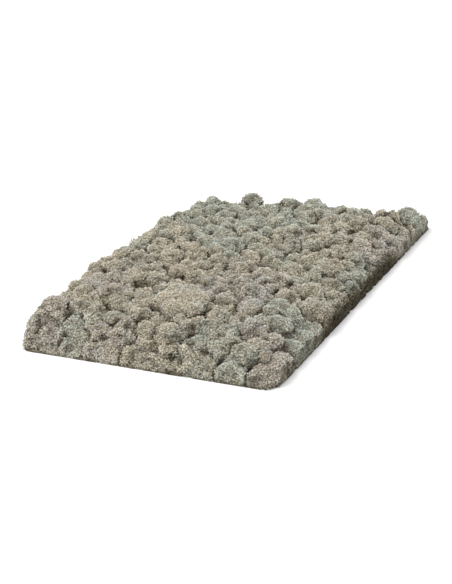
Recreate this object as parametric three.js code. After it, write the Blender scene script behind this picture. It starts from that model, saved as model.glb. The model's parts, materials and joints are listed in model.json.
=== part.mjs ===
// A slab of reindeer lichen (Cladonia stellaris), lifted from the ground as one mat. It has no backing: the
// mat is a crowd of separate tufts that stand side by side on a flat underside, each a cushion of a few fused
// heads. Millimetres, +Z up. X runs along the straight front edge, Y towards the back, and Z = 0 is the face
// that the mat rests on.
import * as THREE from "three";

// ---------------------------------------------------------------- driving dimensions
const THICKNESS = 52; // height of a full-grown head in the middle of the mat
// The mat's corners, how far along the edges each one's rounding reaches, and the kind of the edge after it.
const CORNERS = [
  { at: [0, 0], rounding: 14, kind: "front" },
  { at: [377, 0], rounding: 32, kind: "right" },
  { at: [481, 600], rounding: 12, kind: "torn" },
  { at: [98, 504], rounding: 24, kind: "torn" },
  { at: [20, 262], rounding: 90, kind: "torn" }, // a slight belly half way along the left edge
];
const CORNER_STEPS = 3;
// The front and the right edge are cut straight, and the others are torn from the ground. Along each kind of
// edge the mat's top falls away over "roll" to the height "rim", and the heads curve down to an upright side
// of the height "wall". "nick" is the depth of the nick where two heads meet on the edge. The outermost heads
// stand "spacing" apart and "inset" inside the edge, and all the others stand at least "others" inside it.
const EDGE_KINDS = {
  front: { roll: 66, rim: 12, wall: 4, nick: 2, spacing: 34, inset: [5, 15], radius: [9, 17], others: 6 },
  right: { roll: 44, rim: 24, wall: 13, nick: 3, spacing: 34, inset: [5, 15], radius: [9, 17], others: 6 },
  torn: { roll: 20, rim: 13, wall: 5, nick: 4, spacing: 22, inset: [8, 13], radius: [10, 15], others: 18 },
};
const EDGE_STEP = 9; // length of the straight pieces that a head's round outer side is made of
const EDGE_REACH = 1.15; // a head on a torn edge is round, with this many times its radius
const EDGE_BULGE = 4; // how far such a head may bulge past the mat's outline
const LEAST_THICKNESS = 5; // no valley goes deeper than this above the underside
const HEAD_RADIUS = [8, 18];
const INNER_HEADS = 285;
const PLACES_TRIED = 60; // fewer makes the crowd less even
const TUFTS = 58; // separate cushions, each of several heads
const TUFT_GAP = 0.4; // clear space between neighbouring tufts
const LEAST_BOND = 7; // shared border that holds two heads of one tuft together
const WELD = 2.6; // corners of outlines closer than this are one corner
// Where heads meet, the valley lies this much of its distance from the crown below the crown. Most valleys
// are shallow, because the heads have grown into each other, and the deepest are pits.
const VALLEY_DEPTH = [0.6, 1.1];
const DOME_POWER = 2.15; // a dome's section from crown to valley: 2 is a quarter ellipse, more is fuller
const DOME_RINGS = [0.84, 0.46]; // where the dome's rings of corners lie, as shares of the way to the valley

// One big cushion stands out of the crowd. It is a round dome, because its heads have almost grown into one,
// and the mat lies lower in a ring around it.
const BIG_CUSHION = { middle: new THREE.Vector2(203, 118), radius: 42, rise: 13, valleyDepth: 0.22 };
const RING = { width: 22, fall: 6 };
// Hollows where the mat lies deeper: the middle, how far each one reaches, and how deep it is.
const HOLLOWS = [
  { at: [112, 94], reach: 34, depth: 14 },
  { at: [161, 92], reach: 16, depth: 8 },
  { at: [69, 50], reach: 16, depth: 9 },
  { at: [250, 47], reach: 18, depth: 10 },
  { at: [289, 12], reach: 18, depth: 9 },
  { at: [320, 68], reach: 20, depth: 12 },
  { at: [405, 132], reach: 24, depth: 9 },
  { at: [93, 213], reach: 20, depth: 10 },
  { at: [309, 455], reach: 24, depth: 14 },
  { at: [411, 435], reach: 26, depth: 10 },
];

// Heads that stand out from the crowd: where each one stands, its radius and how far it rises over the mat.
const NOTABLE_HEADS = [
  { at: [203, 118], radius: 14, rise: 0 }, // the big cushion's heads: one in the middle and six around it
  { at: [229, 125], radius: 13, rise: 0 },
  { at: [209, 145], radius: 13, rise: 1 },
  { at: [182, 136], radius: 13, rise: 1 },
  { at: [176, 110], radius: 13, rise: -1 },
  { at: [197, 91], radius: 13, rise: 0 },
  { at: [223, 99], radius: 13, rise: -1 },
  { at: [24, 60], radius: 24, rise: 19 }, // the high head at the front left corner
  { at: [19, 27], radius: 15, rise: 20 }, // the front row, from left to right
  { at: [41, 15], radius: 17, rise: 6 },
  { at: [70, 12], radius: 10, rise: -3 },
  { at: [312, 14], radius: 18, rise: -1 },
  { at: [352, 14], radius: 15, rise: -2 },
  { at: [68, 38], radius: 15, rise: 0 }, // the second row
  { at: [112, 34], radius: 14, rise: 0 },
  { at: [262, 110], radius: 16, rise: 5 },
  { at: [98, 108], radius: 15, rise: 4 },
  { at: [150, 84], radius: 13, rise: 2 },
  { at: [134, 264], radius: 20, rise: 6 },
  { at: [166, 216], radius: 17, rise: 4 },
  { at: [128, 485], radius: 19, rise: 6 }, // the peak at the back left
  { at: [192, 508], radius: 14, rise: 13 }, // the knob on the back edge
  { at: [256, 522], radius: 17, rise: 6 },
  { at: [292, 530], radius: 17, rise: 5 },
  { at: [366, 516], radius: 20, rise: -3 },
  { at: [330, 540], radius: 14, rise: -9 },
  { at: [352, 556], radius: 14, rise: -8 },
  { at: [376, 546], radius: 13, rise: -12 },
  { at: [404, 562], radius: 14, rise: -24 }, // a dip in the back edge
  { at: [398, 538], radius: 15, rise: -20 },
  { at: [418, 544], radius: 13, rise: -22 },
  { at: [427, 570], radius: 14, rise: -20 },
  { at: [74, 389], radius: 16, rise: 7 },
  { at: [448, 552], radius: 24, rise: 2 }, // the broad head at the back right corner
  { at: [467, 580], radius: 10, rise: -7 }, // and the low tip beyond it
  { at: [386, 190], radius: 23, rise: 3 },
  { at: [376, 310], radius: 23, rise: 2 },
  { at: [316, 88], radius: 14, rise: 3 },
  { at: [322, 34], radius: 19, rise: 2 },
];

// ---------------------------------------------------------------- small helpers
let seed = 20417;
function random() {
  // mulberry32, so that every run grows the same mat
  seed = (seed + 0x6d2b79f5) | 0;
  let t = Math.imul(seed ^ (seed >>> 15), 1 | seed);
  t = (t + Math.imul(t ^ (t >>> 7), 61 | t)) ^ t;
  return ((t ^ (t >>> 14)) >>> 0) / 4294967296;
}
const between = (low, high) => low + (high - low) * random();
const next = (list, i) => list[(i + 1) % list.length];
const previous = (list, i) => list[(i + list.length - 1) % list.length];
const outwardOf = (a, b) => new THREE.Vector2(b.y - a.y, a.x - b.x).normalize();

// ---------------------------------------------------------------- the mat's outline
function matEdges() {
  const corners = CORNERS.map(({ at }) => new THREE.Vector2(...at));
  const points = corners.flatMap((corner, i) => {
    const { rounding, kind } = CORNERS[i];
    const towards = (other) => other.clone().sub(corner).setLength(rounding).add(corner);
    const curve = new THREE.QuadraticBezierCurve(
      towards(previous(corners, i)),
      corner,
      towards(next(corners, i)),
    );
    return curve.getPoints(CORNER_STEPS).map((p) => ({ p, kind }));
  });
  return points.map(({ p: a, kind }, i) => {
    const b = next(points, i).p;
    const outward = outwardOf(a, b);
    return { a, b, outward, limit: outward.dot(a), kind };
  });
}

const edges = matEdges();
const inside = (edge, p) => edge.limit - edge.outward.dot(p);
const toEdge = (p) => Math.min(...edges.map((edge) => inside(edge, p)));
const nearestEdge = (p) => edges.reduce((best, edge) => (inside(edge, p) < inside(best, p) ? edge : best));

// ---------------------------------------------------------------- where the heads stand
// The mat's top falls away at its margin and lies in slow waves elsewhere.
function crownHeight(p, rise) {
  const wave = 2.5 * Math.sin(p.x / 61 + 1.3) * Math.cos(p.y / 83) + 1.5 * Math.sin((p.x + p.y) / 37);
  const full = THICKNESS + wave;
  const heights = edges.map((edge) => {
    const { roll, rim } = EDGE_KINDS[edge.kind];
    const share = THREE.MathUtils.clamp(inside(edge, p) / roll, 0, 1);
    return rim + (full - rim) * Math.sin((share * Math.PI) / 2);
  });
  const { middle, radius, rise: dome } = BIG_CUSHION;
  const out = p.distanceTo(middle) - radius;
  const swell = out < 0 ? dome * Math.sqrt(1 - (p.distanceTo(middle) / radius) ** 2) : 0;
  const ring = out < 0 ? 0 : RING.fall * Math.max(0, 1 - out / RING.width);
  const hollow = HOLLOWS.reduce((sum, { at, reach, depth }) => {
    const far = p.distanceTo(new THREE.Vector2(...at)) / reach;
    return sum + depth * Math.max(0, 1 - far ** 2);
  }, 0);
  return Math.min(...heights) + swell - ring - hollow + rise;
}

function growHeads() {
  const heads = NOTABLE_HEADS.map(({ at, ...shape }) => ({ centre: new THREE.Vector2(...at), ...shape }));
  const room = (p) => Math.min(...heads.map((head) => head.centre.distanceTo(p) - head.radius));
  // The margin: a row of small heads just inside the edge.
  for (const edge of edges) {
    const { spacing, inset, radius } = EDGE_KINDS[edge.kind];
    const count = Math.max(1, Math.round(edge.a.distanceTo(edge.b) / spacing));
    for (let i = 0; i < count; i++) {
      const centre = edge.a.clone().lerp(edge.b, (i + between(0.3, 0.7)) / count);
      centre.addScaledVector(edge.outward, -between(...inset));
      if (toEdge(centre) < inset[0] || room(centre) < 5) continue;
      heads.push({ centre, radius: between(...radius), rise: between(-2, 3) });
    }
  }
  // The inside: each new head takes the roomiest of many places, so the crowd is even but not regular.
  const isWithin = (p) => edges.every((edge) => inside(edge, p) > EDGE_KINDS[edge.kind].others);
  const box = new THREE.Box2().setFromPoints(edges.map((edge) => edge.a));
  for (let n = 0; n < INNER_HEADS; n++) {
    let centre = null;
    for (let tries = 0; tries < PLACES_TRIED; tries++) {
      const p = new THREE.Vector2(between(box.min.x, box.max.x), between(box.min.y, box.max.y));
      if (isWithin(p) && (!centre || room(p) > room(centre))) centre = p;
    }
    // It grows into the room it finds, so that wide heads stand among small ones.
    const radius = THREE.MathUtils.clamp(room(centre) * between(0.7, 1), ...HEAD_RADIUS);
    heads.push({ centre, radius, rise: between(-5, 5) });
  }
  for (const head of heads) head.height = crownHeight(head.centre, head.rise);
  return heads;
}

// ---------------------------------------------------------------- the ground that each head owns
// Keeps the side of a convex outline where normal . p <= limit. Each corner remembers what its next edge
// borders on.
function cutOutline(outline, normal, limit, beyond) {
  const kept = [];
  outline.forEach((corner, i) => {
    const here = normal.dot(corner.p) - limit;
    const there = normal.dot(next(outline, i).p) - limit;
    if (here <= 0) kept.push(corner);
    if (here <= 0 !== there <= 0) {
      const p = corner.p.clone().lerp(next(outline, i).p, here / (here - there));
      kept.push({ p, beyond: here <= 0 ? beyond : corner.beyond });
    }
  });
  return kept;
}

// A head owns what is nearer to it than to its neighbours, wide heads taking more. "beyond" is the
// neighbour's number along each stretch of the outline, or null on the mat's own edge.
function headOutline(heads, i) {
  const { centre, radius } = heads[i];
  let outline = edges.map((edge) => ({ p: edge.a, beyond: null }));
  heads.forEach((other, j) => {
    if (j === i) return;
    const apart = other.centre.distanceTo(centre);
    const normal = other.centre.clone().sub(centre).divideScalar(apart);
    const share = (apart ** 2 + radius ** 2 - other.radius ** 2) / (2 * apart);
    outline = cutOutline(outline, normal, normal.dot(centre) + share, j);
  });
  return outline;
}

// On the mat's edge the stretch that belongs to a head gets more points, and the corners it shares with its
// neighbours are nicked in along their border. A cut edge stays straight between them. On a torn one the head
// is round: the points lie on its own round reach. Each corner on the mat's edge gets the height of the side.
function roundOuterEdge(head, outline) {
  const rounded = [];
  outline.forEach((corner, i) => {
    const outerBefore = previous(outline, i).beyond === null;
    const outerAfter = corner.beyond === null;
    const { kind } = nearestEdge(corner.p);
    const p = corner.p.clone();
    if (outerBefore !== outerAfter) {
      const border = (outerAfter ? previous(outline, i) : next(outline, i)).p.clone().sub(p);
      p.add(border.clampLength(0, Math.min(EDGE_KINDS[kind].nick, border.length() / 2)));
    }
    rounded.push({ p, wall: outerBefore || outerAfter ? EDGE_KINDS[kind].wall : null });
    if (!outerAfter) return;
    const end = next(outline, i).p;
    const steps = Math.round(corner.p.distanceTo(end) / EDGE_STEP);
    for (let k = 1; k < steps; k++) {
      const q = corner.p.clone().lerp(end, k / steps);
      if (kind === "torn") {
        const reach = Math.min(head.radius * EDGE_REACH, q.distanceTo(head.centre) + EDGE_BULGE);
        q.sub(head.centre).setLength(reach).add(head.centre);
      }
      rounded.push({ p: q, wall: EDGE_KINDS[kind].wall });
    }
  });
  return rounded;
}

// ---------------------------------------------------------------- which heads share a tuft
// Tufts grow from evenly spread first heads, nearest heads first, always over a border long enough to hold.
// The spreading begins at head 0, the middle of the big cushion.
function groupIntoTufts(heads, outlines) {
  const tuft = new Array(heads.length).fill(-1);
  const starts = [0];
  while (starts.length < TUFTS) {
    const gapTo = (head) => Math.min(...starts.map((s) => heads[s].centre.distanceTo(head.centre)));
    const gaps = heads.map(gapTo);
    starts.push(gaps.indexOf(Math.max(...gaps)));
  }
  starts.sort((a, b) => heads[a].centre.y - heads[b].centre.y);
  const queue = starts.map((head, n) => ({ head, n, distance: 0 }));
  while (queue.length) {
    queue.sort((a, b) => b.distance - a.distance);
    const { head, n } = queue.pop();
    if (tuft[head] >= 0) continue;
    tuft[head] = n;
    outlines[head].forEach((corner, i) => {
      const bond = corner.p.distanceTo(next(outlines[head], i).p);
      if (corner.beyond === null || bond < LEAST_BOND) return;
      const distance = heads[corner.beyond].centre.distanceTo(heads[starts[n]].centre);
      queue.push({ head: corner.beyond, n, distance });
    });
  }
  return tuft;
}

// Half of the valleys are shallower than a quarter of the range.
const depthOfValley = () => THREE.MathUtils.lerp(...VALLEY_DEPTH, random() ** 2);

// Outlines as lists of shared corners: corners closer than WELD are one and the same.
function shareCorners(heads, outlines) {
  const corners = [];
  return heads.map((head, i) => {
    const outline = roundOuterEdge(head, outlines[i]).map(({ p, wall }) => {
      let corner = corners.find((other) => other.p.distanceTo(p) < WELD);
      if (!corner) corners.push((corner = { p, heads: [], wall: null, depth: depthOfValley() }));
      corner.wall ??= wall;
      if (!corner.heads.includes(head)) corner.heads.push(head);
      return corner;
    });
    return { head, outline: outline.filter((corner, k) => corner !== next(outline, k)) };
  });
}

// ---------------------------------------------------------------- one tuft as a solid
// The height of the valley at a corner, from all the heads that meet there, so that they fuse along it.
function valleyHeight(corner) {
  if (corner.wall !== null) return corner.wall;
  const inBigCushion = ({ centre }) => centre.distanceTo(BIG_CUSHION.middle) < BIG_CUSHION.radius;
  const depth = corner.heads.every(inBigCushion) ? BIG_CUSHION.valleyDepth : corner.depth;
  const heights = corner.heads.map((head) => head.height - depth * head.centre.distanceTo(corner.p));
  return Math.max(LEAST_THICKNESS, heights.reduce((sum, z) => sum + z) / heights.length);
}

const domeShare = (reach) => (1 - reach ** DOME_POWER) ** (1 / DOME_POWER);

// members: the tuft's heads, each with its outline as a list of shared corners.
function tuftGeometry(members) {
  const positions = [];
  const faces = [];
  const addPoint = (p, z) => positions.push(p.x, p.y, z) / 3 - 1;

  // Stretches that two heads of the tuft share lie inside it. The others are its own edge.
  const stretches = members.flatMap(({ outline }) => outline.map((a, i) => [a, next(outline, i)]));
  const isShared = (a, b) => stretches.some(([c, d]) => c === b && d === a);
  const rims = new Map(stretches.map(([a]) => [a, []]));
  for (const [a, b] of stretches) {
    if (isShared(a, b)) continue;
    rims.get(a).push(outwardOf(a.p, b.p));
    rims.get(b).push(outwardOf(a.p, b.p));
  }
  // Corners on the tuft's own edge step in by half a gap.
  const points = new Map();
  for (const [corner, normals] of rims) {
    const p = corner.p.clone();
    if (normals.length) {
      const mitre = normals[0].clone().add(normals[1]);
      p.addScaledVector(mitre, -TUFT_GAP / 2 / Math.max(mitre.dot(normals[0]), 0.4));
    }
    points.set(corner, { foot: addPoint(p, 0), top: addPoint(p, valleyHeight(corner)) });
  }

  for (const { head, outline } of members) {
    const { centre, height } = head;
    const foot = addPoint(centre, 0);
    const crown = addPoint(centre, height);
    const rings = DOME_RINGS.map((reach) =>
      outline.map((corner) => {
        const valley = valleyHeight(corner);
        return addPoint(centre.clone().lerp(corner.p, reach), valley + (height - valley) * domeShare(reach));
      }),
    );
    rings.unshift(outline.map((corner) => points.get(corner).top));
    outline.forEach((corner, i) => {
      const after = next(outline, i);
      const [a, b] = [points.get(corner), points.get(after)];
      faces.push(foot, b.foot, a.foot);
      if (!isShared(corner, after)) faces.push(a.foot, b.foot, b.top, a.foot, b.top, a.top);
      for (let k = 1; k < rings.length; k++) {
        const [low, high] = [rings[k - 1], rings[k]];
        faces.push(low[i], next(low, i), next(high, i), low[i], next(high, i), high[i]);
      }
      faces.push(rings.at(-1)[i], next(rings.at(-1), i), crown);
    });
  }
  return new THREE.BufferGeometry()
    .setAttribute("position", new THREE.Float32BufferAttribute(positions, 3))
    .setIndex(faces);
}

// ---------------------------------------------------------------- the mat
function lichen(name, color) {
  return new THREE.MeshStandardMaterial({ name, color, roughness: 0.95, metalness: 0 });
}
const beige = lichen("lichen_beige", 0xaaa492);
const greyGreen = lichen("lichen_grey_green", 0xa2a698);
const pale = lichen("lichen_pale", 0xb4ae9b);
const mauveGrey = lichen("lichen_mauve_grey", 0xa39a8c);
// Each tuft is one lichen of one tint. The tints lie in patches, and a tuft takes that of the nearest place.
const TINT_PLACES = [
  [beige, [196, 5], [212, 90], [279, 94], [385, 62], [396, 177], [53, 130], [143, 146], [62, 188]],
  [beige, [197, 216], [109, 235], [243, 271], [125, 305], [358, 315], [468, 477]],
  [greyGreen, [74, 16], [124, 8], [246, 50], [303, 39], [172, 69], [359, 111], [165, 310], [422, 344]],
  [greyGreen, [162, 420], [267, 411], [235, 464], [293, 440], [385, 555]],
  [pale, [219, 23], [75, 80], [384, 241], [298, 303], [119, 343], [211, 373], [349, 417]],
  [mauveGrey, [46, 5], [337, 5], [112, 28], [91, 117], [301, 98], [419, 132], [288, 176], [228, 208]],
  [mauveGrey, [401, 403], [425, 430]],
];
function tintAt(p) {
  const places = TINT_PLACES.flatMap(([tint, ...spots]) => spots.map((at) => ({ tint, at })));
  const gaps = places.map(({ at }) => p.distanceTo(new THREE.Vector2(...at)));
  return places[gaps.indexOf(Math.min(...gaps))].tint;
}

function buildMat() {
  const heads = growHeads();
  const outlines = heads.map((_, i) => headOutline(heads, i));
  const tuft = groupIntoTufts(heads, outlines);
  const members = shareCorners(heads, outlines);

  const mat = new THREE.Group();
  for (let n = 0; n < TUFTS; n++) {
    const own = members.filter((_, i) => tuft[i] === n);
    const centre = own.reduce((sum, { head }) => sum.add(head.centre), new THREE.Vector2());
    const mesh = new THREE.Mesh(tuftGeometry(own), tintAt(centre.divideScalar(own.length)));
    mesh.name = "cushion_" + String(n + 1).padStart(2, "0");
    mat.add(mesh);
  }
  // The origin goes to the middle of the underside.
  const middle = new THREE.Box3().setFromObject(mat).getCenter(new THREE.Vector3());
  mat.position.set(-middle.x, -middle.y, 0);
  return mat;
}

export default buildMat();
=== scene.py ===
"""Reindeer moss clump: a cut slab of reindeer lichen, its cushions clothed in fine forked sprigs.

Each solid cushion of the frame becomes one lichen. Its solid is rounded and warped, the light of the open
sky that reaches it is worked out, lobes and sprigs grow where that light falls, and one of four finishes of
dried lichen is painted by the same light. Lengths are in metres, written as millimetres times MM.
"""
import json
import math
import random

import bmesh
import bpy
import numpy as np
from mathutils import Matrix, Vector, noise
from mathutils.bvhtree import BVHTree

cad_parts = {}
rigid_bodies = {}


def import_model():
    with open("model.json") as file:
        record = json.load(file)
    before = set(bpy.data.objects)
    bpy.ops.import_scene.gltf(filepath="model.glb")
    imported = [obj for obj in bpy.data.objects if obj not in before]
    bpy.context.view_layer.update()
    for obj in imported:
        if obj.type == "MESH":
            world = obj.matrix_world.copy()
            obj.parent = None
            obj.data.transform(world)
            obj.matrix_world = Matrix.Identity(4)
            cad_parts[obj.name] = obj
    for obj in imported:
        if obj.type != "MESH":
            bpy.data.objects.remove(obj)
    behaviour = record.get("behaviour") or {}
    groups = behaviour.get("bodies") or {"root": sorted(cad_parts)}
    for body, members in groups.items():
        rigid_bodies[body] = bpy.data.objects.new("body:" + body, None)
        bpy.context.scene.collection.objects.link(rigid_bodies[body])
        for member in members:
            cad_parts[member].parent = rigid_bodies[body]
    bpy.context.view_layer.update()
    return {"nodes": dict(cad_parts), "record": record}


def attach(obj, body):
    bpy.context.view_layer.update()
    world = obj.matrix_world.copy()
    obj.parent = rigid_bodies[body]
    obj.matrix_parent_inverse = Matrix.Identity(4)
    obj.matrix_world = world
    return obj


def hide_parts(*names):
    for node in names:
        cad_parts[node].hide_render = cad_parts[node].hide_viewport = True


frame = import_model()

MM = 0.001

# ---------------------------------------------------------------- camera, light and floor
LOOK_AT = Vector((-17.0, -35.0, 0.0)) * MM
CAMERA_DISTANCE = 2041.6 * MM
CAMERA_ROUND = math.radians(17.78)
CAMERA_ABOVE = math.radians(27.0)
LONG_SIDE_ANGLE = math.radians(25.0)
SENSOR = 36.0
CLIP_NEAR, CLIP_FAR = 0.05, 50
PANEL_PLACE = (-0.9, -0.7, 2.6)
PANEL_SIZE = 1.8
PANEL_POWER = 62
FLOOR_REACH = 6
FLOOR_BELOW = 0.2 * MM


def place_camera():
    """A camera that looks down along the slab from beyond its front edge."""
    camera = bpy.data.objects.new("camera", bpy.data.cameras.new("camera"))
    bpy.context.scene.collection.objects.link(camera)
    camera.data.sensor_width = SENSOR
    camera.data.lens = SENSOR / 2 / math.tan(LONG_SIDE_ANGLE / 2)
    back = Vector((math.sin(CAMERA_ROUND) * math.cos(CAMERA_ABOVE),
                   -math.cos(CAMERA_ROUND) * math.cos(CAMERA_ABOVE),
                   math.sin(CAMERA_ABOVE)))
    camera.location = LOOK_AT + back * CAMERA_DISTANCE
    camera.rotation_euler = back.to_track_quat("Z", "Y").to_euler()
    camera.data.clip_start = CLIP_NEAR
    camera.data.clip_end = CLIP_FAR
    bpy.context.scene.camera = camera


def linear(hex_colour):
    """An sRGB hex colour as the linear RGBA that Blender's sockets take."""
    channels = [int(hex_colour[i:i + 2], 16) / 255 for i in (1, 3, 5)]
    return [c / 12.92 if c <= 0.04045 else ((c + 0.055) / 1.055) ** 2.4 for c in channels] + [1.0]


# Sockets that share their name with others are given by their place: a Mix node's when it mixes colours, and
# those of a Random Value node when it draws a number or a vector.
MIX, MIX_FROM, MIX_TO, MIXED = 0, 6, 7, 2
DRAW_LOW, DRAW_HIGH, DRAWN_VECTOR, DRAWN_NUMBER = 2, 3, 0, 1


def add_node(tree, kind, inputs=None, **settings):
    """Adds a node, sets its settings, and sets or links each of its inputs."""
    node = tree.nodes.new(kind)
    for name, value in settings.items():
        setattr(node, name, value)
    for name, value in (inputs or {}).items():
        if isinstance(value, bpy.types.NodeSocket):
            tree.links.new(value, node.inputs[name])
        else:
            node.inputs[name].default_value = value
    return node


def add_light():
    """An even pale sky and one large soft panel, high up at the left of the front."""
    world = bpy.data.worlds.new("overcast")
    world.use_nodes = True
    bpy.context.scene.world = world
    sky = world.node_tree.nodes["Background"]
    sky.inputs["Color"].default_value = linear("#fafbff")
    sky.inputs["Strength"].default_value = 1.0
    panel = bpy.data.lights.new("soft_panel", "AREA")
    panel.size = PANEL_SIZE
    panel.energy = PANEL_POWER
    panel.color = linear("#fffdfa")[:3]
    lamp = bpy.data.objects.new("soft_panel", panel)
    lamp.location = PANEL_PLACE
    lamp.rotation_euler = lamp.location.to_track_quat("Z", "Y").to_euler()
    bpy.context.scene.collection.objects.link(lamp)
    bpy.context.scene.view_settings.view_transform = "Standard"


def lay_floor():
    """A sheet of uncoated white paper, just clear of the slab's foot: matt, so it shows soft shadows only."""
    bm = bmesh.new()
    bmesh.ops.create_grid(bm, x_segments=1, y_segments=1, size=FLOOR_REACH)
    bmesh.ops.translate(bm, verts=bm.verts, vec=(0, 0, -FLOOR_BELOW))
    mesh = bpy.data.meshes.new("floor")
    bm.to_mesh(mesh)
    bm.free()
    floor = bpy.data.objects.new("floor", mesh)
    bpy.context.scene.collection.objects.link(floor)
    paper = bpy.data.materials.new("white_paper")
    paper.use_nodes = True
    shader = paper.node_tree.nodes["Principled BSDF"]
    shader.inputs["Base Color"].default_value = linear("#f4f4f2")
    shader.inputs["Roughness"].default_value = 0.9
    mesh.materials.append(paper)


# ---------------------------------------------------------------- cushions
# The two sides that were cut straight: the corner where they would meet, and the way that each one faces.
CUT_CORNER = Vector((137.4, -298.7, 0.0)) * MM
CUT_SIDES = {"front": Vector((0, -1, 0)), "right": Vector((600, -104, 0)).normalized()}

# A core is a cushion's solid, rounded.
LOOSE_CORNER = 1e-6
CORE_VOXEL = 2.2 * MM
CORE_SMOOTHING = 3
CORE_SWELL = 0.7 * MM

# Cores drift by up to WARP_REACH in waves WARP_WIDTH long, but stay put at the cut sides.
NOISE_SEED = 1
WARP_WIDTH = 14 * MM
WARP_REACH = 4.2 * MM
WARP_INSET = 10 * MM

# They swell by half of SEAM_SWELL, more or less so in patches SEAM_PATCH wide. SEAM_SHIFT takes the swell
# from another part of the noise than the drift.
SEAM_PATCH = 16 * MM
SEAM_SWELL = 3.2 * MM
SEAM_SHIFT = Vector((2.2, 8.6, 0))

# One large cushion has grown so evenly that its heads have almost become one.
EVEN_MIDDLE = Vector((-36.6, -180.7, 0)) * MM
EVEN_RADIUS = 33 * MM
EVEN_BORDER = 10 * MM
EVEN_SHARE = 0.55

# The lobes of a head come in two sizes, each with its width and its depth.
LOBES = ((15 * MM, 2.6 * MM), (8 * MM, 2.6 * MM))
LOBE_POWER = 2.2
LOBE_VALLEY = 0.5

# Rays towards the sky, in rings: how high each ring stands in degrees, and its number of rays.
SKY_RINGS = ((90, 1), (58, 5), (28, 7), (6, 7))
SKY_REACH = 80 * MM
SKY_LIFT = 1.5 * MM
GRAZING = 0.05
SKY_LOW, SKY_HIGH, SKY_FRONT = 0.4, 0.6, 0.4

# Sides that were cut or torn are short of living tips and show dead brown stalks, and they are darkened with
# painted shade as well, most of all along these stretches: where each starts and ends, how wide it is and how
# high up the side it goes. They are ragged in patches BARE_PATCH wide, and get lower towards their ends.
BARE_AND_SHADED_STRETCHES = (
    (Vector((167, -165, 0)) * MM, Vector((219, 158, 0)) * MM, 10 * MM, 30 * MM),
    (Vector((-240, -274, 0)) * MM, Vector((-246, -236, 0)) * MM, 18 * MM, 42 * MM),
)
BARE_PATCH = 12 * MM
BARE_RAGGED = 0.6
BARE_ENDS = 0.35
BARE_RISE = 5
BARE_MOST = 0.95
# Upright sides that face away from the front, and from the light, are this bare and this dark with painted
# shade anywhere.
BARE_AND_SHADED_ANYWHERE = 0.2
LEVEL_ENOUGH = 0.3

# The share of a core's unlit faces that is kept.
HIDDEN_FACES_LEFT = 0.12


def merged_copy(node):
    """A copy of a cushion's solid with its loose triangles joined, as a new object."""
    mesh = frame["nodes"][node].data.copy()
    bm = bmesh.new()
    bm.from_mesh(mesh)
    bmesh.ops.remove_doubles(bm, verts=bm.verts, dist=LOOSE_CORNER)
    for face in bm.faces:
        face.smooth = True
    bm.to_mesh(mesh)
    bm.free()
    mesh.materials.clear()
    copy = bpy.data.objects.new(node.replace("cushion", "lichen"), mesh)
    bpy.context.scene.collection.objects.link(copy)
    return copy


def settle(piece):
    """Applies a piece's modifiers to its mesh."""
    mesh = bpy.data.meshes.new_from_object(piece.evaluated_get(bpy.context.evaluated_depsgraph_get()))
    piece.modifiers.clear()
    old, piece.data = piece.data, mesh
    mesh.name = piece.name
    bpy.data.meshes.remove(old)


def soften(piece):
    """Meshes a piece evenly, rounds off its facets and swells it until it meets its neighbours."""
    remesh = piece.modifiers.new("even_mesh", "REMESH")
    remesh.mode = "VOXEL"
    remesh.voxel_size = CORE_VOXEL
    remesh.use_smooth_shade = True
    smooth = piece.modifiers.new("rounded", "SMOOTH")
    smooth.factor = 0.5
    smooth.iterations = CORE_SMOOTHING
    swell = piece.modifiers.new("swollen", "DISPLACE")
    swell.strength = CORE_SWELL
    swell.mid_level = 0


def uneven(place):
    """How lumpy the mat is at a place: fully, but for the one large cushion that has grown evenly."""
    outside = ((place - EVEN_MIDDLE).xy.length - EVEN_RADIUS) / EVEN_BORDER
    return EVEN_SHARE + (1 - EVEN_SHARE) * min(1, max(0, outside))


def warp(core):
    """Shifts a core by a drift that its neighbours share, so that no seam between them is straight, and
    swells it unevenly, so that a seam closes in some places and is a pit in others."""
    normals = [vertex.normal.copy() for vertex in core.data.vertices]
    unevenness = [uneven(vertex.co) for vertex in core.data.vertices]
    for vertex, normal, share in zip(core.data.vertices, normals, unevenness):
        inside = min(side.dot(CUT_CORNER - vertex.co) for side in CUT_SIDES.values())
        drift = noise.noise_vector(vertex.co / WARP_WIDTH) * WARP_REACH * min(1, max(0, inside / WARP_INSET))
        swell = SEAM_SWELL * max(0, 0.5 + share * noise.noise(vertex.co / SEAM_PATCH + SEAM_SHIFT))
        vertex.co += Vector((drift.x, drift.y, 0)) * share + normal * swell
    core.data.update()
    core.data.attributes.new("uneven", "FLOAT", "POINT").data.foreach_set("value", unevenness)


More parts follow.
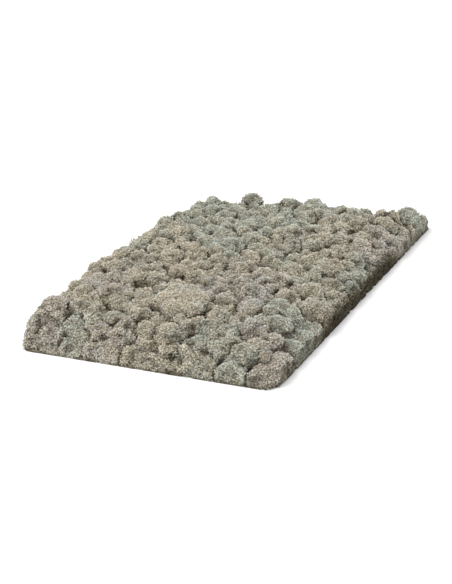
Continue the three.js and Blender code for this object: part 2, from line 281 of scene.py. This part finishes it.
def lobes_tree():
    """Geometry nodes that press the valleys between lobes into a core, where it stands free, and keep how
    deep each place lies in them as "crease"."""
    tree = bpy.data.node_groups.new("lobes", "GeometryNodeTree")
    tree.interface.new_socket("Geometry", in_out="INPUT", socket_type="NodeSocketGeometry")
    tree.interface.new_socket("Geometry", in_out="OUTPUT", socket_type="NodeSocketGeometry")
    entry = add_node(tree, "NodeGroupInput")
    leave = add_node(tree, "NodeGroupOutput")
    place = add_node(tree, "GeometryNodeInputPosition")
    normal = add_node(tree, "GeometryNodeInputNormal")
    sky = add_node(tree, "GeometryNodeInputNamedAttribute", {"Name": "sky"}, data_type="FLOAT")
    height = None
    for width, depth in LOBES:
        cells = add_node(tree, "ShaderNodeTexVoronoi", {"Vector": place.outputs[0], "Scale": 1 / width},
                         feature="F1")
        dome = add_node(tree, "ShaderNodeMath", {0: cells.outputs["Distance"], 1: LOBE_POWER},
                        operation="POWER")
        level = add_node(tree, "ShaderNodeMapRange", {"Value": dome.outputs[0], "From Min": 0.0,
                         "From Max": LOBE_VALLEY, "To Min": 0.0, "To Max": -depth}, clamp=False)
        height = level if height is None else add_node(
            tree, "ShaderNodeMath", {0: height.outputs[0], 1: level.outputs[0]}, operation="ADD")
    free = add_node(tree, "ShaderNodeMapRange", {"Value": sky.outputs[0], "From Min": 0.2,
                    "From Max": 0.5, "To Min": 0.0, "To Max": 1.0})
    lumpiness = add_node(tree, "GeometryNodeInputNamedAttribute", {"Name": "uneven"}, data_type="FLOAT")
    lumpy = add_node(tree, "ShaderNodeMath", {0: height.outputs[0], 1: lumpiness.outputs[0]},
                     operation="MULTIPLY")
    inset = add_node(tree, "ShaderNodeMath", {0: lumpy.outputs[0], 1: free.outputs[0]},
                     operation="MULTIPLY")
    shift = add_node(tree, "ShaderNodeVectorMath", {0: normal.outputs[0], "Scale": inset.outputs[0]},
                     operation="SCALE")
    crease = add_node(tree, "ShaderNodeMapRange", {"Value": lumpy.outputs[0], "From Min": 0.0,
                      "From Max": -sum(depth for _, depth in LOBES), "To Min": 0.0, "To Max": 1.0})
    marked = add_node(tree, "GeometryNodeStoreNamedAttribute",
                      {"Geometry": entry.outputs[0], "Name": "crease", "Value": crease.outputs[0]},
                      data_type="FLOAT", domain="POINT")
    moved = add_node(tree, "GeometryNodeSetPosition", {"Geometry": marked.outputs[0],
                     "Offset": shift.outputs[0]})
    tree.links.new(moved.outputs[0], leave.inputs[0])
    return tree


def sky_directions():
    """Unit vectors towards places spread over the sky, ring by ring."""
    directions = []
    for elevation, count in SKY_RINGS:
        rise = math.radians(elevation)
        for i in range(count):
            turn = 2 * math.pi * (i + elevation / 90) / count
            directions.append(Vector((math.cos(turn) * math.cos(rise), math.sin(turn) * math.cos(rise),
                                      math.sin(rise))))
    return directions


def sky_share(piece, mat, directions):
    """For each vertex, the light that reaches it from a sky that is brighter overhead and in front, as a
    share of the light that falls on open flat ground."""
    brightness = [SKY_LOW + SKY_HIGH * ray.z + SKY_FRONT * max(0, -ray.y) for ray in directions]
    open_ground = sum(ray.z * bright for ray, bright in zip(directions, brightness))
    shares = np.zeros(len(piece.data.vertices), np.float32)
    for i, vertex in enumerate(piece.data.vertices):
        start = vertex.co + vertex.normal * SKY_LIFT
        for ray, bright in zip(directions, brightness):
            slant = ray.dot(vertex.normal)
            if slant > GRAZING and mat.ray_cast(start, ray, SKY_REACH)[0] is None:
                shares[i] += slant * bright / open_ground
    return shares


def freshness_and_light(vertex):
    """How much of a vertex's surface has living tips and is free of painted shade: all of it, but for sides
    that were cut or torn, which are partly bare and partly painted in shade. The side that faces the front,
    towards the light, is bare and shaded in the stretches only."""
    # Upright faces turned away from the front are painted in shade as well as bare.
    upright = min(1, max(0, 1 - vertex.normal.z / LEVEL_ENOUGH))
    turned_from_light = min(1, max(0, 1.4 + 2 * vertex.normal.y))
    bare = BARE_AND_SHADED_ANYWHERE * upright * turned_from_light
    for start, end, width, height in BARE_AND_SHADED_STRETCHES:
        along = (vertex.co - start).dot(end - start) / (end - start).length_squared
        share = min(1, max(0, along))
        distance = (vertex.co - start.lerp(end, share)).xy.length / width
        patchy = min(1, 1.5 - distance + BARE_RAGGED * noise.noise(vertex.co / BARE_PATCH))
        taper = min(1, BARE_ENDS + BARE_RISE * min(share, 1 - share))
        low = min(1, max(0, 1.6 * taper - vertex.co.z / height))
        bare = max(bare, BARE_MOST * low * patchy)
    return 1 - bare


def store_sky(cores):
    """Keeps on each vertex how much light it gets, as "sky", and how much of it is living and free of painted
    shade.
    """
    directions = sky_directions()
    bm = bmesh.new()
    for core in cores:
        bm.from_mesh(core.data)
    mat = BVHTree.FromBMesh(bm)
    bm.free()
    for core in cores:
        sky = core.data.attributes.new("sky", "FLOAT", "POINT")
        sky.data.foreach_set("value", sky_share(core, mat, directions))
        fresh = core.data.attributes.new("fresh", "FLOAT", "POINT")
        fresh.data.foreach_set("value", [freshness_and_light(vertex) for vertex in core.data.vertices])


def thin_hidden(core):
    """Gives the sides and the foot that no light reaches fewer, larger faces."""
    shares = np.zeros(len(core.data.vertices), np.float32)
    core.data.attributes["sky"].data.foreach_get("value", shares)
    hidden = np.flatnonzero(shares == 0)
    core.vertex_groups.new(name="hidden").add(hidden.tolist(), 1.0, "REPLACE")
    thin = core.modifiers.new("thin", "DECIMATE")
    thin.vertex_group = "hidden"
    thin.ratio = 1 - (1 - HIDDEN_FACES_LEFT) * len(hidden) / len(shares)
    settle(core)
    core.vertex_groups.clear()


# ---------------------------------------------------------------- sprigs
# A real sprig's tips are under half a millimetre thick and stand closer than a millimetre. These are drawn
# about three times as coarse, so that they show and the mat stays light enough to use.
SPRIG_KINDS = 6
SPRIG_SEED = 100
SPRIG_GAP = 2.25 * MM
SPRIG_DENSITY = 400000
SPRIG_SIZE = (0.8, 1.25)
DEEP_SPRIG_SIZE = 0.55
SPRIG_RISE = 0.35
SPRIG_TILT = 0.5
FULL_TURN = 6.283
TWIGS = 4
TWIG_LENGTH = 2.7 * MM
TWIG_LENGTHS = (0.8, 1.15)
TWIG_RADIUS = 0.72 * MM
TWIG_RADII = (0.85, 1.15)
TIP_SLANT = 0.22
TWIG_SPREAD = math.radians(38)
MIDDLE_SPREAD = 0.2
OUTER_SPREADS = (0.6, 1.1)
TURN_UNEVEN = 0.25
TWIG_SPIN = 2
SAME_POINT = 1e-7
BARE_SPRIGS = 0.4


def sprig(name, seed):
    """A forked sprig: twigs that spread from one foot and widen to a slanting, blunt tip."""
    draw = random.Random(seed)
    bm = bmesh.new()
    tip = bm.verts.layers.float.new("tip")
    for twig in range(TWIGS):
        length = TWIG_LENGTH * draw.uniform(*TWIG_LENGTHS)
        cone = bmesh.ops.create_cone(bm, cap_ends=True, segments=3, radius1=0, depth=length,
                                     radius2=TWIG_RADIUS * draw.uniform(*TWIG_RADII))["verts"]
        for v in cone:
            v.co.z += length / 2
            v[tip] = v.co.z / length
            if v.co.z > length / 2:
                v.co.z += length * draw.uniform(-TIP_SLANT, TIP_SLANT)
        lean = TWIG_SPREAD * (MIDDLE_SPREAD if twig == 0 else draw.uniform(*OUTER_SPREADS))
        turn = 2 * math.pi * (twig + draw.uniform(-TURN_UNEVEN, TURN_UNEVEN)) / (TWIGS - 1)
        spin = Matrix.Rotation(draw.uniform(0, TWIG_SPIN), 3, "Z")
        lay = Matrix.Rotation(turn, 3, "Z") @ Matrix.Rotation(lean, 3, "Y")
        bmesh.ops.rotate(bm, verts=cone, cent=(0, 0, 0), matrix=lay @ spin)
    bmesh.ops.remove_doubles(bm, verts=bm.verts, dist=SAME_POINT)
    bmesh.ops.recalc_face_normals(bm, faces=bm.faces)
    mesh = bpy.data.meshes.new(name)
    bm.to_mesh(mesh)
    bm.free()
    return bpy.data.objects.new(name, mesh)


def sprigs_tree(kinds):
    """Geometry nodes that clothe a core in sprigs: where light falls, and fewer where it is bare. Each sprig
    leans a little towards the sky and keeps a random number as "shade". Those that reach past a cut side or
    the foot are pressed back to it, as a knife and the ground leave them."""
    tree = bpy.data.node_groups.new("sprigs", "GeometryNodeTree")
    tree.interface.new_socket("Geometry", in_out="INPUT", socket_type="NodeSocketGeometry")
    tree.interface.new_socket("Geometry", in_out="OUTPUT", socket_type="NodeSocketGeometry")
    entry = add_node(tree, "NodeGroupInput")
    leave = add_node(tree, "NodeGroupOutput")
    sky = add_node(tree, "GeometryNodeInputNamedAttribute", {"Name": "sky"}, data_type="FLOAT")
    normal = add_node(tree, "GeometryNodeInputNormal")
    facing = add_node(tree, "ShaderNodeSeparateXYZ", {0: normal.outputs[0]})
    open_sky = add_node(tree, "ShaderNodeMapRange", {"Value": sky.outputs[0], "From Min": 0.03,
                        "From Max": 0.14, "To Min": 0.0, "To Max": 1.0})
    above = add_node(tree, "ShaderNodeMapRange", {"Value": facing.outputs["Z"], "From Min": -0.6,
                     "From Max": -0.3, "To Min": 0.0, "To Max": 1.0})
    fresh = add_node(tree, "GeometryNodeInputNamedAttribute", {"Name": "fresh"}, data_type="FLOAT")
    thinned = add_node(tree, "ShaderNodeMapRange", {"Value": fresh.outputs[0], "To Min": BARE_SPRIGS,
                       "To Max": 1.0})
    living = add_node(tree, "ShaderNodeMath", {0: above.outputs[0], 1: thinned.outputs[0]},
                      operation="MULTIPLY")
    cover = add_node(tree, "ShaderNodeMath", {0: open_sky.outputs[0], 1: living.outputs[0]},
                     operation="MULTIPLY")
    points = add_node(tree, "GeometryNodeDistributePointsOnFaces",
                      {"Mesh": entry.outputs[0], "Distance Min": SPRIG_GAP, "Density Max": SPRIG_DENSITY,
                       "Density Factor": cover.outputs[0], "Seed": 7}, distribute_method="POISSON")
    kept_normal = add_node(tree, "GeometryNodeCaptureAttribute", {"Geometry": points.outputs["Points"]})
    kept_normal.capture_items.new("VECTOR", "Normal")
    tree.links.new(points.outputs["Normal"], kept_normal.inputs[1])
    lean = add_node(tree, "ShaderNodeVectorMath", {0: kept_normal.outputs[1], 1: (0.0, 0.0, SPRIG_RISE)},
                    operation="ADD")
    upright = add_node(tree, "FunctionNodeAlignRotationToVector", {"Vector": lean.outputs[0]}, axis="Z")
    spin = add_node(tree, "FunctionNodeRandomValue", {"Min": (0.0, 0.0, 0.0),
                    "Max": (SPRIG_TILT, SPRIG_TILT, FULL_TURN), "Seed": 3}, data_type="FLOAT_VECTOR")
    spun = add_node(tree, "FunctionNodeRotateRotation",
                    {0: upright.outputs[0], 1: spin.outputs[DRAWN_VECTOR]}, rotation_space="LOCAL")
    low, high = SPRIG_SIZE
    size = add_node(tree, "FunctionNodeRandomValue", {DRAW_LOW: low, DRAW_HIGH: high, "Seed": 5},
                    data_type="FLOAT")
    deep = add_node(tree, "ShaderNodeMapRange", {"Value": sky.outputs[0], "From Min": 0.1, "From Max": 0.5,
                    "To Min": DEEP_SPRIG_SIZE, "To Max": 1.0})
    sized = add_node(tree, "ShaderNodeMath", {0: size.outputs[DRAWN_NUMBER], 1: deep.outputs[0]},
                     operation="MULTIPLY")
    stock = add_node(tree, "GeometryNodeCollectionInfo", {"Collection": kinds, "Separate Children": True,
                     "Reset Children": True})
    grown = add_node(tree, "GeometryNodeInstanceOnPoints",
                     {"Points": kept_normal.outputs[0], "Instance": stock.outputs[0],
                      "Pick Instance": True, "Rotation": spun.outputs[0], "Scale": sized.outputs[0]})
    shade = add_node(tree, "FunctionNodeRandomValue", {DRAW_LOW: 0.0, DRAW_HIGH: 1.0, "Seed": 11},
                     data_type="FLOAT")
    shaded = add_node(tree, "GeometryNodeStoreNamedAttribute",
                      {"Geometry": grown.outputs[0], "Name": "shade", "Value": shade.outputs[DRAWN_NUMBER]},
                      data_type="FLOAT", domain="INSTANCE")
    real = add_node(tree, "GeometryNodeRealizeInstances", {"Geometry": shaded.outputs[0]})
    both = add_node(tree, "GeometryNodeJoinGeometry", {"Geometry": real.outputs[0]})
    tree.links.new(entry.outputs[0], both.inputs[0])
    trimmed = both.outputs[0]
    for outward in [*CUT_SIDES.values(), Vector((0, 0, -1))]:
        place = add_node(tree, "GeometryNodeInputPosition")
        reach = add_node(tree, "ShaderNodeVectorMath", {0: place.outputs[0], 1: outward},
                         operation="DOT_PRODUCT")
        limit = outward.dot(CUT_CORNER)
        beyond = add_node(tree, "ShaderNodeMath", {0: reach.outputs["Value"], 1: limit},
                          operation="SUBTRACT")
        excess = add_node(tree, "ShaderNodeMath", {0: beyond.outputs[0], 1: 0.0}, operation="MAXIMUM")
        back = add_node(tree, "ShaderNodeMath", {0: excess.outputs[0], 1: -1.0}, operation="MULTIPLY")
        offset = add_node(tree, "ShaderNodeVectorMath", {0: tuple(outward), "Scale": back.outputs[0]},
                          operation="SCALE")
        moved = add_node(tree, "GeometryNodeSetPosition", {"Geometry": trimmed, "Offset": offset.outputs[0]})
        trimmed = moved.outputs[0]
    tree.links.new(moved.outputs[0], leave.inputs[0])
    return tree


# ---------------------------------------------------------------- lichen
TINT_WIDTH = 45 * MM
TINT_SHARE = 0.27
HEAD_WIDTH = 24 * MM
# Real tips stand under a millimetre apart and dead stalks are about one thick. Both are too fine to show,
# so the dots that stand for tips and the strands of the felt are drawn coarser.
DOT_GAP = 1.7 * MM
STRAND_WIDTH = 4 * MM
COOL_DRIFT, WARM_DRIFT = "#cfd9d0", "#e8d6ba"
# Stalks in painted shade and in painted light, and a tip in painted shade.
STALK_SHADED, STALK_LIT = "#30291a", "#8a8066"
SHADED_TIP = "#61573f"
FELT_DARK, FELT_PALE = "#352c22", "#85755d"
BUMP_STRENGTH = 0.6
BUMP_HEIGHT = 0.8 * MM
# The finishes differ in the tint of their living tips.
TIPS = {
    "lichen_beige": "#e0d9ca",
    "lichen_grey_green": "#d5dacf",
    "lichen_pale": "#dddbcc",
    "lichen_mauve_grey": "#dcd7d0",
}


def lichen_material(slot):
    """Reindeer lichen, grown in forked hollow twigs and air-dried. The crust on its tips is pale and scatters
    light like chalk, and the stalks under them have died off brown. So a head is pale and matt with brown
    specks. The hollows between heads, where only stalks show, the creases between lobes and bare sides are
    darkened further with painted shade."""
    material = bpy.data.materials.new(slot)
    material.use_nodes = True
    tree = material.node_tree
    shader = tree.nodes["Principled BSDF"]
    tip = add_node(tree, "ShaderNodeAttribute", attribute_name="tip")
    sky = add_node(tree, "ShaderNodeAttribute", attribute_name="sky")
    shade = add_node(tree, "ShaderNodeAttribute", attribute_name="shade")
    crease = add_node(tree, "ShaderNodeAttribute", attribute_name="crease")
    fresh = add_node(tree, "ShaderNodeAttribute", attribute_name="fresh")
    coords = add_node(tree, "ShaderNodeTexCoord")
    place = coords.outputs["Object"]

    # Tints drift from cool to warm over a few centimetres, and heads differ a little in lightness.
    drift = add_node(tree, "ShaderNodeTexNoise", {"Vector": place, "Scale": 1 / TINT_WIDTH, "Detail": 3.0})
    patch = add_node(tree, "ShaderNodeValToRGB", {0: drift.outputs[0]})
    ramp = patch.color_ramp
    ramp.elements[0].position, ramp.elements[0].color = 0.38, linear(COOL_DRIFT)
    ramp.elements[1].position, ramp.elements[1].color = 0.62, linear(WARM_DRIFT)
    tinted = add_node(tree, "ShaderNodeMix", {MIX: TINT_SHARE, MIX_FROM: linear(TIPS[slot]),
                      MIX_TO: patch.outputs[0]}, data_type="RGBA")
    heads = add_node(tree, "ShaderNodeTexNoise", {"Vector": place, "Scale": 1 / HEAD_WIDTH, "Detail": 2.0})
    worn = add_node(tree, "ShaderNodeMapRange", {"Value": heads.outputs[0], "From Min": 0.3,
                    "From Max": 0.7, "To Min": 0.88, "To Max": 1.04})

    # A sprig darkens from tip to foot, where its stalk has died off brown, and the darker foot and the core
    # between sprigs also serve as painted shade deep in the mat. Between sprigs the surface shows the tips of
    # deeper ones as dots, but not where it is bare.
    dots = add_node(tree, "ShaderNodeTexVoronoi", {"Vector": place, "Scale": 1 / DOT_GAP}, feature="F1")
    dot = add_node(tree, "ShaderNodeMapRange", {"Value": dots.outputs["Distance"], "From Min": 0.2,
                   "From Max": 0.6, "To Min": 0.55, "To Max": 0.0})
    deeper = add_node(tree, "ShaderNodeMath", {0: dot.outputs[0], 1: fresh.outputs["Fac"]},
                      operation="MULTIPLY")
    bright = add_node(tree, "ShaderNodeMath", {0: tip.outputs["Fac"], 1: deeper.outputs[0]},
                      operation="MAXIMUM")
    fade = add_node(tree, "ShaderNodeMapRange", {"Value": bright.outputs[0], "From Min": 0.0,
                    "From Max": 0.85})
    # Painted shade: stalks and tips are darkened where less sky light reaches, deep in the creases between
    # lobes, and on bare sides.
    open_sky = add_node(tree, "ShaderNodeMapRange", {"Value": sky.outputs["Fac"], "From Min": 0.13,
                        "From Max": 0.6})
    crease_shade = add_node(tree, "ShaderNodeMapRange", {"Value": crease.outputs["Fac"], "From Min": 0.4,
                    "From Max": 0.95, "To Min": 1.0, "To Max": 0.36})
    hollow = add_node(tree, "ShaderNodeMath", {0: open_sky.outputs[0], 1: crease_shade.outputs[0]},
                      operation="MULTIPLY")
    depth = add_node(tree, "ShaderNodeMath", {0: hollow.outputs[0], 1: fresh.outputs["Fac"]},
                     operation="MULTIPLY")
    stalk = add_node(tree, "ShaderNodeMix", {MIX: depth.outputs[0], MIX_FROM: linear(STALK_SHADED),
                     MIX_TO: linear(STALK_LIT)}, data_type="RGBA")
    head = add_node(tree, "ShaderNodeMix", {MIX: depth.outputs[0], MIX_FROM: linear(SHADED_TIP),
                    MIX_TO: tinted.outputs[MIXED]}, data_type="RGBA")
    twig = add_node(tree, "ShaderNodeMix", {MIX: fade.outputs[0], MIX_FROM: stalk.outputs[MIXED],
                    MIX_TO: head.outputs[MIXED]}, data_type="RGBA")
    vary = add_node(tree, "ShaderNodeMapRange", {"Value": shade.outputs["Fac"], "To Min": 0.84,
                    "To Max": 1.08})
    light = add_node(tree, "ShaderNodeMath", {0: vary.outputs[0], 1: worn.outputs[0]}, operation="MULTIPLY")
    crown = add_node(tree, "ShaderNodeVectorMath", {0: twig.outputs[MIXED], "Scale": light.outputs[0]},
                     operation="SCALE")

    # The foot that the mat rests on is a felt of dead brown stalks: faces that look down and get no light.
    strands = add_node(tree, "ShaderNodeTexNoise", {"Vector": place, "Scale": 1 / STRAND_WIDTH,
                       "Detail": 4.0, "Distortion": 1.5})
    felt = add_node(tree, "ShaderNodeValToRGB", {0: strands.outputs[0]})
    ramp = felt.color_ramp
    ramp.elements[0].position, ramp.elements[0].color = 0.35, linear(FELT_DARK)
    ramp.elements[1].position, ramp.elements[1].color = 0.68, linear(FELT_PALE)
    surface = add_node(tree, "ShaderNodeNewGeometry")
    facing = add_node(tree, "ShaderNodeSeparateXYZ", {0: surface.outputs["Normal"]})
    below = add_node(tree, "ShaderNodeMapRange", {"Value": facing.outputs["Z"], "From Min": -0.95,
                     "From Max": -0.7, "To Min": 1.0, "To Max": 0.0})
    unlit = add_node(tree, "ShaderNodeMath", {0: sky.outputs["Fac"], 1: 0.02}, operation="LESS_THAN")
    foot = add_node(tree, "ShaderNodeMath", {0: below.outputs[0], 1: unlit.outputs[0]}, operation="MULTIPLY")
    colour = add_node(tree, "ShaderNodeMix", {MIX: foot.outputs[0], MIX_FROM: crown.outputs[0],
                      MIX_TO: felt.outputs[0]}, data_type="RGBA")
    tree.links.new(colour.outputs[MIXED], shader.inputs["Base Color"])

    # Crisp dry tips are a little smoother than the downy stalks under them.
    rough = add_node(tree, "ShaderNodeMapRange", {"Value": bright.outputs[0], "To Min": 0.97,
                     "To Max": 0.82})
    tree.links.new(rough.outputs[0], shader.inputs["Roughness"])
    shader.inputs["Specular IOR Level"].default_value = 0.25
    grain = add_node(tree, "ShaderNodeMath", {0: deeper.outputs[0], 1: strands.outputs[0]}, operation="ADD")
    bump = add_node(tree, "ShaderNodeBump", {"Strength": BUMP_STRENGTH, "Distance": BUMP_HEIGHT,
                    "Height": grain.outputs[0]})
    tree.links.new(bump.outputs[0], shader.inputs["Normal"])
    return material


def grow_mat():
    """Makes each cushion's lichen, clothes it and puts it in the cushion's place."""
    noise.seed_set(NOISE_SEED)
    slots = {p["node"]: p["material_slot"] for p in frame["record"]["subparts"]}
    nodes = sorted(frame["nodes"])
    lobes = lobes_tree()
    cores = [merged_copy(node) for node in nodes]
    for core in cores:
        soften(core)
        settle(core)
        warp(core)
    store_sky(cores)
    for core in cores:
        thin_hidden(core)
        core.modifiers.new("lobes", "NODES").node_group = lobes
        settle(core)
    kinds = bpy.data.collections.new("sprig_kinds")
    for i in range(SPRIG_KINDS):
        kinds.objects.link(sprig(f"sprig_{i}", SPRIG_SEED + i))
    clothe = sprigs_tree(kinds)
    finishes = {slot: lichen_material(slot) for slot in TIPS}
    for node, core in zip(nodes, cores):
        core.modifiers.new("sprigs", "NODES").node_group = clothe
        settle(core)
        core.data.materials.clear()
        core.data.materials.append(finishes[slots[node]])
        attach(core, "root")
        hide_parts(node)
    for kind in list(kinds.objects):
        bpy.data.objects.remove(kind)
    bpy.data.collections.remove(kinds)


place_camera()
add_light()
lay_floor()
grow_mat()
